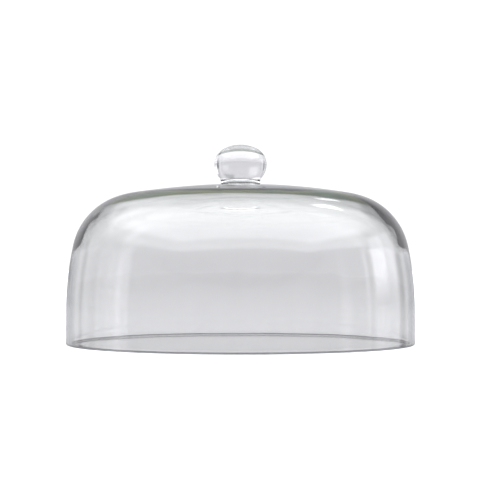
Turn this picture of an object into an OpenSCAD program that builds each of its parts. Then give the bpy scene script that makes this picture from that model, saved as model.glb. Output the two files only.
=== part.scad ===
// Glass dome for a cake stand: a heavy clear bell with a solid ball knob fused to its crown.
// Millimetres, +Z up. The origin is the centre of the rim, in the plane the rim rests on.

/* [Dome] */
// Outer diameter of the bell at its rim
dome_d = 300; // [270:1:340]
// Height of the crown above the rim
crown_h = 137; // [125:1:150]
// Glass thickness of the side wall
wall_t = 3.5; // [3:0.1:5]
// Glass thickness over the crown
crown_t = 7; // [5:0.1:9]
// Radius of the broad arc over the crown
crown_arc_r = 585; // [450:5:800]
// Radius of the shoulder between the crown and the wall
shoulder_r = 57; // [45:1:65]
// Radius of the slow curve between the shoulder and the straight wall
haunch_r = 275; // [220:5:340]
// Height of the straight part of the wall above the rim
straight_h = 29; // [15:1:40]
// Radius of the two fire-polished edges of the rim
rim_edge_r = 1.2; // [0.5:0.1:1.2]

/* [Knob] */
// Diameter of the ball at its widest
ball_d = 45.5; // [40:0.5:52]
// Height of the ball's widest line above the crown
ball_mid_h = 18; // [17:0.5:20]
// Height of the ball's top above the crown
knob_h = 35; // [34:0.5:37]
// Radius of the ball's side above its widest line
ball_upper_r = 15.3; // [14:0.1:15.7]
// Radius of the ball's side below its widest line
ball_lower_r = 17.5; // [17:0.1:18.5]
// Diameter of the neck at its narrowest
neck_d = 34; // [31:0.5:35]
// Radius of the fillet where the neck spreads onto the crown
foot_fillet_r = 1.6; // [1:0.1:2.2]
// Height of the lip round the neck's foot
foot_lip_h = 0.4; // [0.2:0.1:0.6]

/* [Hidden] */
GLASS = [0.82, 0.87, 0.86, 0.5];
ROUND = 180;
BROAD_STEPS = 12;
CURVE_STEPS = 24;
SMALL_STEPS = 6;

dome_r = dome_d / 2;
neck_r = neck_d / 2;
// The knob's foot stands on a small flat seat that is ground on the crown.
seat_r = neck_r + foot_fillet_r;
seat_z = crown_h - crown_arc_r + sqrt(pow(crown_arc_r, 2) - pow(seat_r, 2));

// Points along an arc, from one angle to another.
function arc_points(centre, radius, start, end, steps) =
    [for (i = [0 : steps]) centre + radius * polar(start + (end - start) * i / steps)];

function polar(angle) = [cos(angle), sin(angle)];

function direction(from, to) = atan2(to[1] - from[1], to[0] - from[0]);

// The point at distance d1 from c1 and d2 from c2, to the right of the line from c1 to c2.
function crossing(c1, d1, c2, d2) =
    let (
        gap = norm(c2 - c1),
        unit = (c2 - c1) / gap,
        along = (d1 * d1 - d2 * d2 + gap * gap) / (2 * gap),
        across = sqrt(d1 * d1 - along * along)
    )
    c1 + along * unit + across * [unit[1], -unit[0]];

// Half of the bell's section from the crown to the straight wall: three arcs, each tangent to the next.
function bell_line(radius, height, crown_radius, haunch_radius, first_angle) =
    let (
        crown_c = [0, height - crown_radius],
        haunch_c = [radius - haunch_radius, straight_h],
        shoulder_c = crossing(crown_c, crown_radius - shoulder_r, haunch_c, haunch_radius - shoulder_r),
        crown_end = direction(crown_c, shoulder_c),
        shoulder_end = direction(haunch_c, shoulder_c)
    )
    concat(
        arc_points(crown_c, crown_radius, first_angle, crown_end, BROAD_STEPS),
        drop_first(arc_points(shoulder_c, shoulder_r, crown_end, shoulder_end, CURVE_STEPS)),
        drop_first(arc_points(haunch_c, haunch_radius, shoulder_end, 0, BROAD_STEPS))
    );

function drop_first(points) = [for (i = [1 : len(points) - 1]) points[i]];

function reversed(points) = [for (i = [len(points) - 1 : -1 : 0]) points[i]];

function rim_line() =
    concat(
        arc_points([dome_r - rim_edge_r, rim_edge_r], rim_edge_r, 0, -90, SMALL_STEPS),
        arc_points([dome_r - wall_t + rim_edge_r, rim_edge_r], rim_edge_r, -90, -180, SMALL_STEPS)
    );

module dome_shell() {
    outside = bell_line(dome_r, crown_h, crown_arc_r, haunch_r, acos(seat_r / crown_arc_r));
    inside = bell_line(dome_r - wall_t, crown_h - crown_t, crown_arc_r - crown_t, haunch_r - wall_t, 90);
    color(GLASS)
        rotate_extrude($fn = ROUND)
            polygon(concat([[0, seat_z]], outside, rim_line(), reversed(inside)));
}

// Half of the knob's section from its foot to its top. The neck's hollow curve touches the ball's
// lower side and stands upright where it meets the foot's fillet. The top arc touches the upper side.
function knob_line() =
    let (
        top_z = crown_h + knob_h,
        mid_z = crown_h + ball_mid_h,
        waist_z = seat_z + foot_lip_h + foot_fillet_r,
        upper_c = [ball_d / 2 - ball_upper_r, mid_z],
        lower_c = [ball_d / 2 - ball_lower_r, mid_z],
        reach = neck_r - lower_c[0],
        drop = mid_z - waist_z,
        neck_curve_r = (reach * reach + drop * drop - pow(ball_lower_r, 2)) / (2 * (ball_lower_r - reach)),
        neck_c = [neck_r + neck_curve_r, waist_z],
        rise = top_z - mid_z,
        top_arc_r = (rise * rise + pow(upper_c[0], 2) - pow(ball_upper_r, 2)) / (2 * (rise - ball_upper_r)),
        top_c = [0, top_z - top_arc_r],
        neck_end = direction(neck_c, lower_c),
        upper_end = direction(top_c, upper_c)
    )
    concat(
        arc_points([seat_r, waist_z], foot_fillet_r, 270, 180, SMALL_STEPS),
        drop_first(arc_points(neck_c, neck_curve_r, 180, neck_end, BROAD_STEPS)),
        drop_first(arc_points(lower_c, ball_lower_r, neck_end - 180, 0, BROAD_STEPS)),
        drop_first(arc_points(upper_c, ball_upper_r, 0, upper_end, BROAD_STEPS)),
        drop_first(arc_points(top_c, top_arc_r, upper_end, 90, SMALL_STEPS))
    );

module knob() {
    color(GLASS)
        rotate_extrude($fn = ROUND)
            polygon(concat([[0, seat_z], [seat_r, seat_z]], knob_line()));
}

dome_shell();
knob();
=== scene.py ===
"""A glass cake stand dome: a heavy clear bell with a solid ball knob fused to its crown."""
import math

import bpy
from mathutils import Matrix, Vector, noise


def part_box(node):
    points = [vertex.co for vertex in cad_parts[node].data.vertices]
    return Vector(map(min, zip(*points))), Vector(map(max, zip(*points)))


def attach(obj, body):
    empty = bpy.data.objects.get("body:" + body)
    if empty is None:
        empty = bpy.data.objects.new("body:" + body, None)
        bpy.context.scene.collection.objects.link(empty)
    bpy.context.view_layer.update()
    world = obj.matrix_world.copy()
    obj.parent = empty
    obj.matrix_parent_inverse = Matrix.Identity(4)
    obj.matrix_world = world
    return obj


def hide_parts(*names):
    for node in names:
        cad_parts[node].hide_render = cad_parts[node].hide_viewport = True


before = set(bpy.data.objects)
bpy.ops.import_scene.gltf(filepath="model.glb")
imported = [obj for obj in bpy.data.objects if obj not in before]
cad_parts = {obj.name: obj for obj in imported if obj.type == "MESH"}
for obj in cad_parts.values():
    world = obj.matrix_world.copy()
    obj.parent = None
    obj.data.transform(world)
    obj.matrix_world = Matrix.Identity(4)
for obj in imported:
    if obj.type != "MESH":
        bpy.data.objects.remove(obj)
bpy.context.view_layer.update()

MM = 0.001

# ---------- sizes of the bell and the knob, as in the CAD model ----------

WALL = 3.5 * MM
CROWN_THICK = 7.0 * MM
CROWN_ARC_R = 585 * MM
SHOULDER_R = 57 * MM
HAUNCH_R = 275 * MM
STRAIGHT_H = 29 * MM
RIM_EDGE_R = 1.2 * MM
BALL_MID_H = 18 * MM
BALL_UPPER_R = 15.3 * MM
BALL_LOWER_R = 17.5 * MM
NECK_R = 17 * MM
FOOT_FILLET_R = 1.6 * MM
FOOT_LIP_H = 0.4 * MM
# A hair's breadth between the two fused faces, so that they never coincide
SEAT_GAP = 0.02 * MM

shell_low, shell_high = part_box("dome_shell")
knob_low, knob_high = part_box("knob")
RIM_R = (shell_high.x - shell_low.x) / 2
SEAT_Z = shell_high.z
TOP_Z = knob_high.z
BALL_R = (knob_high.x - knob_low.x) / 2
SEAT_R = NECK_R + FOOT_FILLET_R
CROWN_H = SEAT_Z + CROWN_ARC_R - math.sqrt(CROWN_ARC_R**2 - SEAT_R**2)

# Mesh density: steps round the axis, and along the long, middling and short curves of an outline
SHELL_TURN_STEPS = 288
KNOB_TURN_STEPS = 144
BROAD_STEPS = 40
CURVE_STEPS = 48
HALF_CURVE_STEPS = 24
SMALL_STEPS = 10
WALL_STEPS = 12
FLAT_STEPS = 4

# ---------- waves of hand-blown glass ----------

# Waves of the outer and the inner skin: height, length and a seed
OUTER_WAVES = (0.08 * MM, 46 * MM, 3.0)
INNER_WAVES = (0.16 * MM, 34 * MM, 11.0)
# A finer wave on top of each: how many times shorter it is, and its share of the height
FINE_WAVE_TIMES = 2.1
FINE_WAVE_HEIGHT = 0.5
# The share that is left on the straight wall, and the heights over which they grow
WALL_CALM = 0.15
WAVE_RISE = (STRAIGHT_H, 0.8 * CROWN_H)
# No waves at the pad under the knob, by distance from the axis, nor at the rim, by height
STILL_PAD = (1.1 * SEAT_R, 2 * SEAT_R)
STILL_RIM = (2 * RIM_EDGE_R, 12 * MM)
# Slower waves that both skins share: height, length and a seed, and where they grow from none to full
SHARED_WAVES = (0.2 * MM, 50 * MM, 23.0)
SHARED_RISE = (10 * MM, 95 * MM)
SHARED_PAD = (2 * SEAT_R, 3 * SEAT_R)
# A faint pressed ring on the crown, round the knob
RING_R = 41 * MM
RING_WIDTH = 3 * MM
RING_DEPTH = 0.12 * MM
RING_LOWEST = 0.8 * CROWN_H

# ---------- glass ----------

# Colours are red, green, blue and 1. Pairs are the two ends of a smooth step.
# Facing is 0 where a surface is seen straight on and 1 where it is seen edge on.
GLASS_IOR = 1.5
# The points that the outsides of the bell and the knob face away from
SHELL_MIDDLE = (0.0, 0.0, 60 * MM)
KNOB_MIDDLE = (0.0, 0.0, CROWN_H + BALL_MID_H)
SHELL_CLEAR = (0.99, 0.985, 0.99, 1.0)
# Painted shade: the bell's outer skin is greyed where the wall is seen edge on, between these facings, fading
# out upwards between these heights
SHELL_EDGE_PAINTED_SHADE = (0.58, 0.59, 0.61, 1.0)
SHELL_EDGE_FACING = (0.66, 0.78)
SHELL_EDGE_HEIGHTS = (90 * MM, 65 * MM)
SHELL_BODY_COLOUR = (0.6, 0.85, 0.45, 1.0)
SHELL_BODY_DENSITY = 6.0
# Painted shade: the rim is dark grey below these heights, where it meets the floor
RIM_PAINTED_SHADE = (0.4, 0.4, 0.41, 1.0)
RIM_PAINTED_SHADE_HEIGHTS = (1.5 * RIM_EDGE_R, 1.0 * RIM_EDGE_R)
KNOB_CLEAR = (0.99, 0.99, 0.99, 1.0)
# Painted shade: the knob's outer skin is greyed where it is seen edge on, between these facings
KNOB_EDGE_PAINTED_SHADE = (0.55, 0.55, 0.56, 1.0)
KNOB_EDGE_FACING = (0.5, 0.85)
# Painted shade: a dark grey band round the knob's neck, which dims the light reflected inside it, between the
# top and foot heights below
NECK_PAINTED_SHADE = (0.38, 0.385, 0.385, 1.0)
NECK_PAINTED_SHADE_TOP = (SEAT_Z + 6 * MM, SEAT_Z + 4.6 * MM)
NECK_PAINTED_SHADE_FOOT = (SEAT_Z + 2.3 * MM, SEAT_Z + 3.1 * MM)

# The thick crown is painted dark green and amber where it is seen at a low angle, in wisps that run round it:
# painted shade, in the green and amber of thick glass
CROWN_PAINTED_SHADE_COLOURS = ((0.045, 0.075, 0.045, 1.0), (0.075, 0.09, 0.03, 1.0))
CROWN_PATCHES = (0.4, 0.6)
# The facing at which the dark starts goes from the third value to the fourth between these heights
CROWN_DARK_START = (113 * MM, 133 * MM, 0.61, 0.34)
CROWN_DARK_SOFT = 0.08
CROWN_DARK_HEIGHTS = (96 * MM, 116 * MM)
CROWN_CLEAR_PAD = (48 * MM, 75 * MM)
WISP_STRETCH = (1.0, 1.0, 3.0)
WISP_SIZE = 16.0
WISP_SWING = 0.16

# A patchy film left by wiping, and the fine ripple of a fire-finished surface
FILM_SIZE = 22.0
FILM_EDGE = (0.5, 0.7)
FILM_ROUGHNESS = 0.03
RIPPLE_SIZE = 90.0
RIPPLE_STRENGTH = 0.4
RIPPLE_DEPTH = 0.012 * MM

# ---------- floor ----------

FLOOR_R = 40.0
FLOOR_SIDES = 96
FLOOR_DROP = 0.2 * MM
FLOOR_PAPER = 0.47
FLOOR_GLOSS = 0.98
FLOOR_ROUGHNESS = 0.1
FLOOR_IOR = 1.5
FLOOR_WHITE = 0.9

# ---------- studio ----------

# Angles are in degrees. Azimuth 0 is the camera's side of the object, and 90 is to the right.
# The walls all round, as (height, radiance)
WALL_LEVELS = [(-2, 0.66), (9, 0.69), (42, 0.69), (52, 0.4)]
WALL_COLOUR = (0.985, 0.985, 1.03, 1.0)
DARKEST = 0.05
BACKDROP_WHITE = 1.1
# Soft upright panels make the walls a little uneven, but not straight behind the object nor high up
PANEL_SIZE = 0.11
PANEL_SWING = 0.45
PANEL_AZIMUTHS = (155, 140)
PANEL_HEIGHTS = (26, 16)
# The overhead softbox as seen from the bell: its sides at one unit of height, and how soft they are
OVERHEAD = {"left": -1.5, "right": 1.9, "front": -1.6, "back": 0.42, "soft": 0.3}
OVERHEAD_RADIANCE = 2.75
# The flattest slope that the softbox is worked out for
OVERHEAD_SLOPE = 0.001
# Softboxes and, where the radiance is negative, dark flags:
# middle azimuth, half width, softness, lowest, full and highest height, radiance
SIDE_BOXES = [
    (105, 7, 2, -2, 10, 21, 1.3),
    (111, 14, 3, -2, 10, 21, 1.0),
    (90.5, 1.5, 1, -10, 8, 16, 0.8),
    (-83, 5, 3, -12, 4, 40, 0.9),
    (-132, 18, 6, 28, 36, 60, 1.3),
    (137, 14, 6, 30, 38, 60, 0.8),
    (-157, 9, 5, 5, 10, 24, 0.18),
    (154, 7, 4, 2, 7, 14, 0.12),
    (159, 10, 5, 18, 23, 36, -0.22),
    (152, 3, 1.5, 41, 44, 49, 4.0),
    (131, 5, 3, -20, 2, 10, -0.45),
    (-127, 3, 2, -20, 2, 14, -0.5),
]

# ---------- camera ----------

# In metres, degrees above level, millimetres of lens and shares of the picture's width
VIEW_DISTANCE = 1.100
VIEW_HEIGHT = 0.0643
VIEW_UP = 0.85
VIEW_NEAREST = 0.01
VIEW_FARTHEST = 100.0
LENS = 91.3
SHIFT_X = 0.019


# ---------- outlines ----------

def arc(centre, radius, start, end, steps):
    """Points along an arc from one angle to another, in degrees, as (radius from the axis, height)."""
    angles = [math.radians(start + (end - start) * i / steps) for i in range(steps + 1)]
    return [(centre[0] + radius * math.cos(a), centre[1] + radius * math.sin(a)) for a in angles]


def straight(start, end, steps):
    """Evenly spaced points from start to end."""
    (r1, z1), (r2, z2) = start, end
    return [(r1 + (r2 - r1) * i / steps, z1 + (z2 - z1) * i / steps) for i in range(steps + 1)]


def direction(start, end):
    """The angle of the line from start to end, in degrees."""
    return math.degrees(math.atan2(end[1] - start[1], end[0] - start[0]))


def crossing(c1, d1, c2, d2):
    """The point at distance d1 from c1 and d2 from c2, to the right of the line from c1 to c2."""
    gap = math.hypot(c2[0] - c1[0], c2[1] - c1[1])
    ux, uy = (c2[0] - c1[0]) / gap, (c2[1] - c1[1]) / gap
    along = (d1 * d1 - d2 * d2 + gap * gap) / (2 * gap)
    across = math.sqrt(d1 * d1 - along * along)
    return c1[0] + along * ux + across * uy, c1[1] + along * uy - across * ux


def bell_centres(radius, height, crown_r, haunch_r):
    """The centres of the crown's, the shoulder's and the haunch's arcs, each tangent to the next."""
    crown_c = (0.0, height - crown_r)
    haunch_c = (radius - haunch_r, STRAIGHT_H)
    shoulder_c = crossing(crown_c, crown_r - SHOULDER_R, haunch_c, haunch_r - SHOULDER_R)
    return crown_c, shoulder_c, haunch_c


def bell_line(radius, height, crown_r, haunch_r, first_angle):
    """Half of the bell's section from the crown to the straight wall."""
    crown_c, shoulder_c, haunch_c = bell_centres(radius, height, crown_r, haunch_r)
    crown_end = direction(crown_c, shoulder_c)
    shoulder_end = direction(haunch_c, shoulder_c)
    line = arc(crown_c, crown_r, first_angle, crown_end, BROAD_STEPS)
    line += arc(shoulder_c, SHOULDER_R, crown_end, shoulder_end, CURVE_STEPS)[1:]
    line += arc(haunch_c, haunch_r, shoulder_end, 0, BROAD_STEPS)[1:]
    return line


def rim_line():
    """The flat rim between its two fire-polished edges."""
    outer = (RIM_R - RIM_EDGE_R, RIM_EDGE_R)
    inner = (RIM_R - WALL + RIM_EDGE_R, RIM_EDGE_R)
    line = arc(outer, RIM_EDGE_R, 0, -90, SMALL_STEPS)
    return line + arc(inner, RIM_EDGE_R, -90, -180, SMALL_STEPS)


def shell_outline():
    """The closed half section of the bell, from the middle of the seat down the outside and up the inside."""
    first = math.degrees(math.acos(SEAT_R / CROWN_ARC_R))
    outside = bell_line(RIM_R, CROWN_H, CROWN_ARC_R, HAUNCH_R, first)
    inside = bell_line(RIM_R - WALL, CROWN_H - CROWN_THICK, CROWN_ARC_R - CROWN_THICK, HAUNCH_R - WALL, 90)
    rim = rim_line()
    line = straight((0, SEAT_Z), outside[0], FLAT_STEPS)[:-1] + outside
    line += straight(outside[-1], rim[0], WALL_STEPS)[1:-1] + rim
    line += straight(rim[-1], inside[-1], WALL_STEPS)[1:-1]
    return line + inside[::-1]


def knob_outline():
    """The closed half section of the knob, from the middle of its top to its foot."""
    mid_z = CROWN_H + BALL_MID_H
    waist_z = SEAT_Z + FOOT_LIP_H + FOOT_FILLET_R
    foot_z = SEAT_Z + SEAT_GAP
    upper_c = (BALL_R - BALL_UPPER_R, mid_z)
    lower_c = (BALL_R - BALL_LOWER_R, mid_z)
    reach, drop = NECK_R - lower_c[0], mid_z - waist_z
    neck_r = (reach**2 + drop**2 - BALL_LOWER_R**2) / (2 * (BALL_LOWER_R - reach))
    neck_c = (NECK_R + neck_r, waist_z)
    rise = TOP_Z - mid_z
    top_r = (rise**2 + upper_c[0] ** 2 - BALL_UPPER_R**2) / (2 * (rise - BALL_UPPER_R))
    top_c = (0.0, TOP_Z - top_r)
    neck_end = direction(neck_c, lower_c)
    upper_end = direction(top_c, upper_c)
    line = straight((0, foot_z), (SEAT_R, foot_z), FLAT_STEPS)
    line += arc((SEAT_R, waist_z), FOOT_FILLET_R, 270, 180, SMALL_STEPS)
    line += arc(neck_c, neck_r, 180, neck_end, HALF_CURVE_STEPS)[1:]
    line += arc(lower_c, BALL_LOWER_R, neck_end - 180, 0, HALF_CURVE_STEPS)[1:]
    line += arc(upper_c, BALL_UPPER_R, 0, upper_end, CURVE_STEPS)[1:]
    line += arc(top_c, top_r, upper_end, 90, HALF_CURVE_STEPS)[1:]
    return line[::-1]


# ---------- meshes ----------

def turned_mesh(name, outline, turn_steps):
    """A closed mesh of revolution. The outline starts on the axis at the top and runs down the outside."""
    ring_line = outline[1:-1]
    verts = [(0.0, 0.0, outline[0][1])]
    for r, z in ring_line:
        for i in range(turn_steps):
            a = 2 * math.pi * i / turn_steps
            verts.append((r * math.cos(a), r * math.sin(a), z))
    verts.append((0.0, 0.0, outline[-1][1]))
    last = len(verts) - 1
    tail = 1 + (len(ring_line) - 1) * turn_steps
    faces = []
    for i in range(turn_steps):
        j = (i + 1) % turn_steps
        faces.append((0, 1 + i, 1 + j))
        for k in range(len(ring_line) - 1):
            a, b = 1 + k * turn_steps, 1 + (k + 1) * turn_steps
            faces.append((a + i, b + i, b + j, a + j))
        faces.append((tail + i, last, tail + j))
    mesh = bpy.data.meshes.new(name)
    mesh.from_pydata(verts, [], faces)
    mesh.update()
    return mesh


def fade(value, start, end):
    """0 before start, 1 after end and a smooth step between them."""
    t = min(max((value - start) / (end - start), 0.0), 1.0)
    return t * t * (3 - 2 * t)


def outer_gap(reach, z):
    """How far a point lies inside the bell's outer skin."""
    if z < STRAIGHT_H:
        return RIM_R - reach
    crown_c, shoulder_c, haunch_c = OUTER_CENTRES
    if direction(haunch_c, (reach, z)) < direction(haunch_c, shoulder_c):
        return HAUNCH_R - math.dist(haunch_c, (reach, z))
    if direction(crown_c, (reach, z)) < direction(crown_c, shoulder_c):
        return SHOULDER_R - math.dist(shoulder_c, (reach, z))
    return CROWN_ARC_R - math.dist(crown_c, (reach, z))


def noise_place(point, length, seed):
    return Vector((point.x / length, point.y / length, point.z / length + seed))


def skin_wave(point, reach, inside):
    """The waves of one skin alone."""
    height, length, seed = INNER_WAVES if inside else OUTER_WAVES
    place = noise_place(point, length, seed)
    wave = noise.noise(place) + FINE_WAVE_HEIGHT * noise.noise(place * FINE_WAVE_TIMES)
    still = fade(reach, *STILL_PAD) * fade(point.z, *STILL_RIM)
    still *= WALL_CALM + (1 - WALL_CALM) * fade(point.z, *WAVE_RISE)
    return height * wave * still


def shared_wave(point, reach, inside):
    """The waves that bend both skins together. They only go inwards, so the bell keeps its size."""
    height, length, seed = SHARED_WAVES
    wave = noise.noise(noise_place(point, length, seed)) - 1.0
    wave *= height * fade(point.z, *SHARED_RISE) * fade(reach, *SHARED_PAD)
    return -wave if inside else wave


def pressed_ring(point, reach):
    """The depth of the ring round the knob."""
    if point.z < RING_LOWEST:
        return 0.0
    return RING_DEPTH * math.exp(-(((reach - RING_R) / RING_WIDTH) ** 2))


def blown_waves(mesh):
    """Gives the bell the slow waves of hand-blown glass, which bend its reflections."""
    normals = [vert.normal.copy() for vert in mesh.vertices]
    for vert, normal in zip(mesh.vertices, normals):
        reach = math.hypot(vert.co.x, vert.co.y)
        inside = outer_gap(reach, vert.co.z) > WALL / 2
        shift = skin_wave(vert.co, reach, inside) + shared_wave(vert.co, reach, inside)
        vert.co += normal * (shift - pressed_ring(vert.co, reach))
    mesh.update()


OUTER_CENTRES = bell_centres(RIM_R, CROWN_H, CROWN_ARC_R, HAUNCH_R)


# ---------- materials ----------

class Nodes:
    """Short ways to add and join the nodes of one material or world."""

    def __init__(self, owner):
        owner.use_nodes = True
        self.tree = owner.node_tree
        self.tree.nodes.clear()

    def add(self, kind, settings=None, **values):
        node = self.tree.nodes.new(kind)
        for key, value in (settings or {}).items():
            setattr(node, key, value)
        for key, value in values.items():
            self.put(node.inputs[key.replace("_", " ")], value)
        return node

    def put(self, socket, value):
        if isinstance(value, bpy.types.NodeSocket):
            self.tree.links.new(value, socket)
        else:
            socket.default_value = value

    def math(self, operation, *values):
        node = self.add("ShaderNodeMath", {"operation": operation})
        for socket, value in zip(node.inputs, values):
            self.put(socket, value)
        return node.outputs[0]

    def product(self, first, *others):
        for other in others:
            first = self.math("MULTIPLY", first, other)
        return first

    def vector(self, operation, *values):
        node = self.add("ShaderNodeVectorMath", {"operation": operation})
        for socket, value in zip(node.inputs, values):
            self.put(socket, value)
        return node

    def step(self, value, start, end, low=0.0, high=1.0):
        """A smooth step from low to high as value goes from start to end."""
        node = self.add("ShaderNodeMapRange", {"interpolation_type": "SMOOTHSTEP"})
        for socket, item in zip(node.inputs, (value, start, end, low, high)):
            self.put(socket, item)
        return node.outputs[0]

    def mix(self, share, first, second):
        """A mix of two colours."""
        node = self.add("ShaderNodeMix", {"data_type": "RGBA"})
        for socket, item in zip((node.inputs[0], node.inputs[6], node.inputs[7]), (share, first, second)):
            self.put(socket, item)
        return node.outputs[2]

    def join(self, share, first, second):
        """A mix of two surfaces."""
        node = self.add("ShaderNodeMixShader")
        for socket, item in zip(node.inputs, (share, first.outputs[0], second.outputs[0])):
            self.put(socket, item)
        return node

    def speckle(self, place, size):
        """Smooth noise from 0 to 1."""
        return self.add("ShaderNodeTexNoise", Vector=place, Scale=size).outputs["Fac"]

    def facing(self):
        return self.add("ShaderNodeLayerWeight", Blend=0.5).outputs["Facing"]


def grey(level):
    return (level, level, level, 1.0)


def outer_face(kit, place, middle):
    """1 where light meets the outside of a piece from the air, told by which way the surface faces."""
    geometry = kit.add("ShaderNodeNewGeometry").outputs
    outward = kit.vector("SUBTRACT", place, middle).outputs[0]
    along = kit.vector("DOT_PRODUCT", outward, geometry["Normal"]).outputs["Value"]
    in_air = kit.math("SUBTRACT", 1.0, geometry["Backfacing"])
    return kit.product(in_air, kit.math("GREATER_THAN", along, 0.0))


def crown_painted_shade(kit, place, height, outer, colour_and_shade):
    """Adds the painted shade of the crown, dark wisps all round but for the pad under the knob."""
    stretched = kit.add("ShaderNodeMapping", Vector=place, Scale=WISP_STRETCH).outputs[0]
    wisps = kit.speckle(stretched, WISP_SIZE)
    reach = kit.vector("LENGTH", kit.vector("MULTIPLY", place, (1.0, 1.0, 0.0)).outputs[0])
    start = kit.math("MULTIPLY_ADD", wisps, WISP_SWING, kit.step(height, *CROWN_DARK_START))
    dark = kit.step(kit.facing(), start, kit.math("ADD", start, CROWN_DARK_SOFT))
    up = kit.step(height, *CROWN_DARK_HEIGHTS)
    off_pad = kit.step(reach.outputs["Value"], *CROWN_CLEAR_PAD)
    colour = kit.mix(kit.step(wisps, *CROWN_PATCHES), *CROWN_PAINTED_SHADE_COLOURS)
    return kit.mix(kit.product(dark, outer, up, off_pad), colour_and_shade, colour)


def shell_painted_shade(kit, place, height):
    """Clear, with painted shade: grey where the wall is seen edge on and on the rim, and dark in the crown.
    """
    outer = outer_face(kit, place, SHELL_MIDDLE)
    edge = kit.step(kit.facing(), *SHELL_EDGE_FACING)
    edge = kit.product(outer, edge, kit.step(height, *SHELL_EDGE_HEIGHTS))
    colour_and_shade = crown_painted_shade(kit, place, height, outer, kit.mix(edge, SHELL_CLEAR, SHELL_EDGE_PAINTED_SHADE))
    return kit.mix(kit.step(height, *RIM_PAINTED_SHADE_HEIGHTS), colour_and_shade, RIM_PAINTED_SHADE)


def knob_painted_shade(kit, place, height):
    """Clear, with painted shade: grey at its edge and round the neck."""
    edge = kit.step(kit.facing(), *KNOB_EDGE_FACING)
    colour_and_shade = kit.mix(kit.product(outer_face(kit, place, KNOB_MIDDLE), edge), KNOB_CLEAR, KNOB_EDGE_PAINTED_SHADE)
    neck = kit.product(kit.step(height, *NECK_PAINTED_SHADE_TOP), kit.step(height, *NECK_PAINTED_SHADE_FOOT))
    return kit.mix(neck, colour_and_shade, NECK_PAINTED_SHADE)


def glass_material(name, make_colour_and_shade, seat_test, body=None):
    """Glass with a film, a fine ripple and painted shade in its colour. seat_test picks the fused face, which
    bends no light.
    """
    material = bpy.data.materials.new(name)
    kit = Nodes(material)
    place = kit.add("ShaderNodeTexCoord").outputs["Object"]
    height = kit.add("ShaderNodeSeparateXYZ", Vector=place).outputs["Z"]
    compare, level = seat_test
    seat = kit.math(compare, height, level)
    colour_and_shade = kit.mix(seat, make_colour_and_shade(kit, place, height), grey(1.0))
    ior = kit.math("MULTIPLY_ADD", seat, 1.0 - GLASS_IOR, GLASS_IOR)
    rough = kit.step(kit.speckle(place, FILM_SIZE), *FILM_EDGE, 0.0, FILM_ROUGHNESS)
    ripple = kit.speckle(place, RIPPLE_SIZE)
    bump = kit.add("ShaderNodeBump", Height=ripple, Strength=RIPPLE_STRENGTH, Distance=RIPPLE_DEPTH)
    glass = kit.add("ShaderNodeBsdfPrincipled", Base_Color=colour_and_shade, IOR=ior, Roughness=rough)
    kit.put(glass.inputs["Normal"], bump.outputs["Normal"])
    kit.put(glass.inputs["Transmission Weight"], 1.0)
    out = kit.add("ShaderNodeOutputMaterial", Surface=glass.outputs[0])
    if body:
        volume = kit.add("ShaderNodeVolumeAbsorption", Color=body[0], Density=body[1])
        kit.put(out.inputs["Volume"], volume.outputs[0])
    return material


# ---------- stage, lights and camera ----------

def floor_material():
    """Satin sheet that shows the studio walls at a low angle. The camera itself sees plain white paper."""
    material = bpy.data.materials.new("floor_paper")
    kit = Nodes(material)
    matt = kit.add("ShaderNodeBsdfDiffuse", Color=grey(FLOOR_PAPER))
    gloss = kit.add("ShaderNodeBsdfAnisotropic", Color=grey(FLOOR_GLOSS), Roughness=FLOOR_ROUGHNESS)
    sheet = kit.join(kit.add("ShaderNodeFresnel", IOR=FLOOR_IOR).outputs[0], matt, gloss)
    white = kit.add("ShaderNodeBsdfDiffuse", Color=grey(FLOOR_WHITE))
    seen = kit.add("ShaderNodeLightPath").outputs["Is Camera Ray"]
    kit.add("ShaderNodeOutputMaterial", Surface=kit.join(seen, sheet, white).outputs[0])
    return material


def make_floor():
    """A wide floor, just under the rim."""
    turns = [2 * math.pi * i / FLOOR_SIDES for i in range(FLOOR_SIDES)]
    edge = [(FLOOR_R * math.cos(t), FLOOR_R * math.sin(t), -FLOOR_DROP) for t in turns]
    mesh = bpy.data.meshes.new("floor")
    mesh.from_pydata(edge, [], [tuple(range(FLOOR_SIDES))])
    mesh.materials.append(floor_material())
    floor = bpy.data.objects.new("floor", mesh)
    bpy.context.scene.collection.objects.link(floor)


def wall_light(kit, azimuth, height):
    """The walls and their panels."""
    light = WALL_LEVELS[0][1]
    for (low, before), (high, after) in zip(WALL_LEVELS, WALL_LEVELS[1:]):
        light = kit.math("ADD", light, kit.step(height, low, high, 0.0, after - before))
    panels = kit.add("ShaderNodeTexNoise", {"noise_dimensions": "1D"}, W=azimuth, Scale=PANEL_SIZE)
    uneven = kit.math("SUBTRACT", panels.outputs[0], 0.5)
    beside = kit.step(kit.math("ABSOLUTE", azimuth), *PANEL_AZIMUTHS)
    below = kit.step(height, *PANEL_HEIGHTS, 0.0, PANEL_SWING)
    return kit.math("ADD", light, kit.product(uneven, beside, below))


def overhead_light(kit, split):
    """The soft rectangle of the overhead softbox."""
    height = kit.math("MAXIMUM", split.outputs["Z"], OVERHEAD_SLOPE)
    across = kit.math("DIVIDE", split.outputs["X"], height)
    along = kit.math("DIVIDE", split.outputs["Y"], height)
    soft = OVERHEAD["soft"]
    return kit.product(
        kit.step(across, OVERHEAD["left"] - soft, OVERHEAD["left"] + soft, 0.0, OVERHEAD_RADIANCE),
        kit.step(across, OVERHEAD["right"] + soft, OVERHEAD["right"] - soft),
        kit.step(along, OVERHEAD["front"] - soft, OVERHEAD["front"] + soft),
        kit.step(along, OVERHEAD["back"] + soft, OVERHEAD["back"] - soft),
    )


def side_light(kit, azimuth, height, box):
    """A softbox at the side, which fades towards its bottom."""
    middle, half, soft, low, full, high, radiance = box
    away = kit.math("ABSOLUTE", kit.math("SUBTRACT", azimuth, middle))
    return kit.product(
        kit.step(away, half + soft, half - soft, 0.0, radiance),
        kit.step(height, high + soft, high - soft),
        kit.step(height, low, full),
    )


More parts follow.
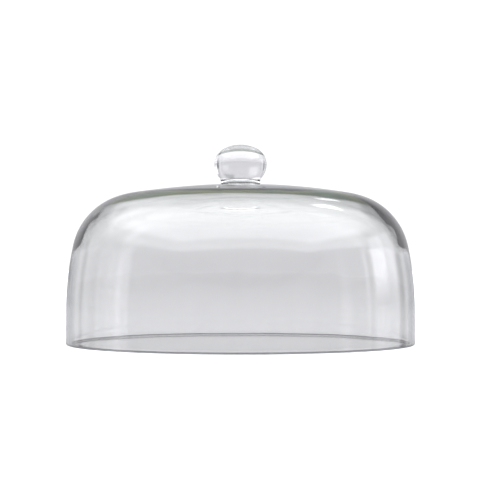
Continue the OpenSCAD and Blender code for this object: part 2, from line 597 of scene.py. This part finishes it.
def make_world():
    """A soft studio: grey walls, an overhead softbox and softboxes at the sides, before a white backdrop."""
    world = bpy.data.worlds.new("studio")
    bpy.context.scene.world = world
    kit = Nodes(world)
    ray = kit.add("ShaderNodeTexCoord").outputs["Generated"]
    split = kit.add("ShaderNodeSeparateXYZ", Vector=ray)
    height = kit.math("DEGREES", kit.math("ARCSINE", split.outputs["Z"]))
    forward = kit.math("MULTIPLY", split.outputs["Y"], -1.0)
    azimuth = kit.math("DEGREES", kit.math("ARCTAN2", split.outputs["X"], forward))
    light = kit.math("ADD", wall_light(kit, azimuth, height), overhead_light(kit, split))
    for box in SIDE_BOXES:
        light = kit.math("ADD", light, side_light(kit, azimuth, height, box))
    light = kit.math("MAXIMUM", light, DARKEST)
    seen = kit.add("ShaderNodeLightPath").outputs["Is Camera Ray"]
    colour = kit.mix(seen, WALL_COLOUR, grey(1.0))
    unseen = kit.product(light, kit.math("SUBTRACT", 1.0, seen))
    strength = kit.math("MULTIPLY_ADD", seen, BACKDROP_WHITE, unseen)
    background = kit.add("ShaderNodeBackground", Color=colour, Strength=strength)
    kit.add("ShaderNodeOutputWorld", Surface=background.outputs[0])


def make_camera():
    data = bpy.data.cameras.new("camera")
    camera = bpy.data.objects.new("camera", data)
    bpy.context.scene.collection.objects.link(camera)
    data.lens = LENS
    data.shift_x = SHIFT_X
    data.clip_start, data.clip_end = VIEW_NEAREST, VIEW_FARTHEST
    camera.location = (0.0, -VIEW_DISTANCE, VIEW_HEIGHT)
    camera.rotation_euler = (math.radians(90 + VIEW_UP), 0, 0)
    bpy.context.scene.camera = camera


# ---------- the scene ----------

def add_piece(name, mesh, material, node):
    """Adds a smooth piece that stands for a CAD node."""
    piece = bpy.data.objects.new(name, mesh)
    bpy.context.scene.collection.objects.link(piece)
    mesh.materials.append(material)
    mesh.shade_smooth()
    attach(piece, "root")
    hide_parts(node)


def add_bell():
    mesh = turned_mesh("bell", shell_outline(), SHELL_TURN_STEPS)
    blown_waves(mesh)
    seat_test = ("GREATER_THAN", SEAT_Z - SEAT_GAP / 4)
    glass = glass_material("dome_glass", shell_painted_shade, seat_test, (SHELL_BODY_COLOUR, SHELL_BODY_DENSITY))
    add_piece("bell", mesh, glass, "dome_shell")


def add_knob():
    mesh = turned_mesh("ball_knob", knob_outline(), KNOB_TURN_STEPS)
    glass = glass_material("knob_glass", knob_painted_shade, ("LESS_THAN", SEAT_Z + 2 * SEAT_GAP))
    add_piece("ball_knob", mesh, glass, "knob")


add_bell()
add_knob()
make_floor()
make_world()
make_camera()
bpy.context.scene.view_settings.view_transform = "Standard"
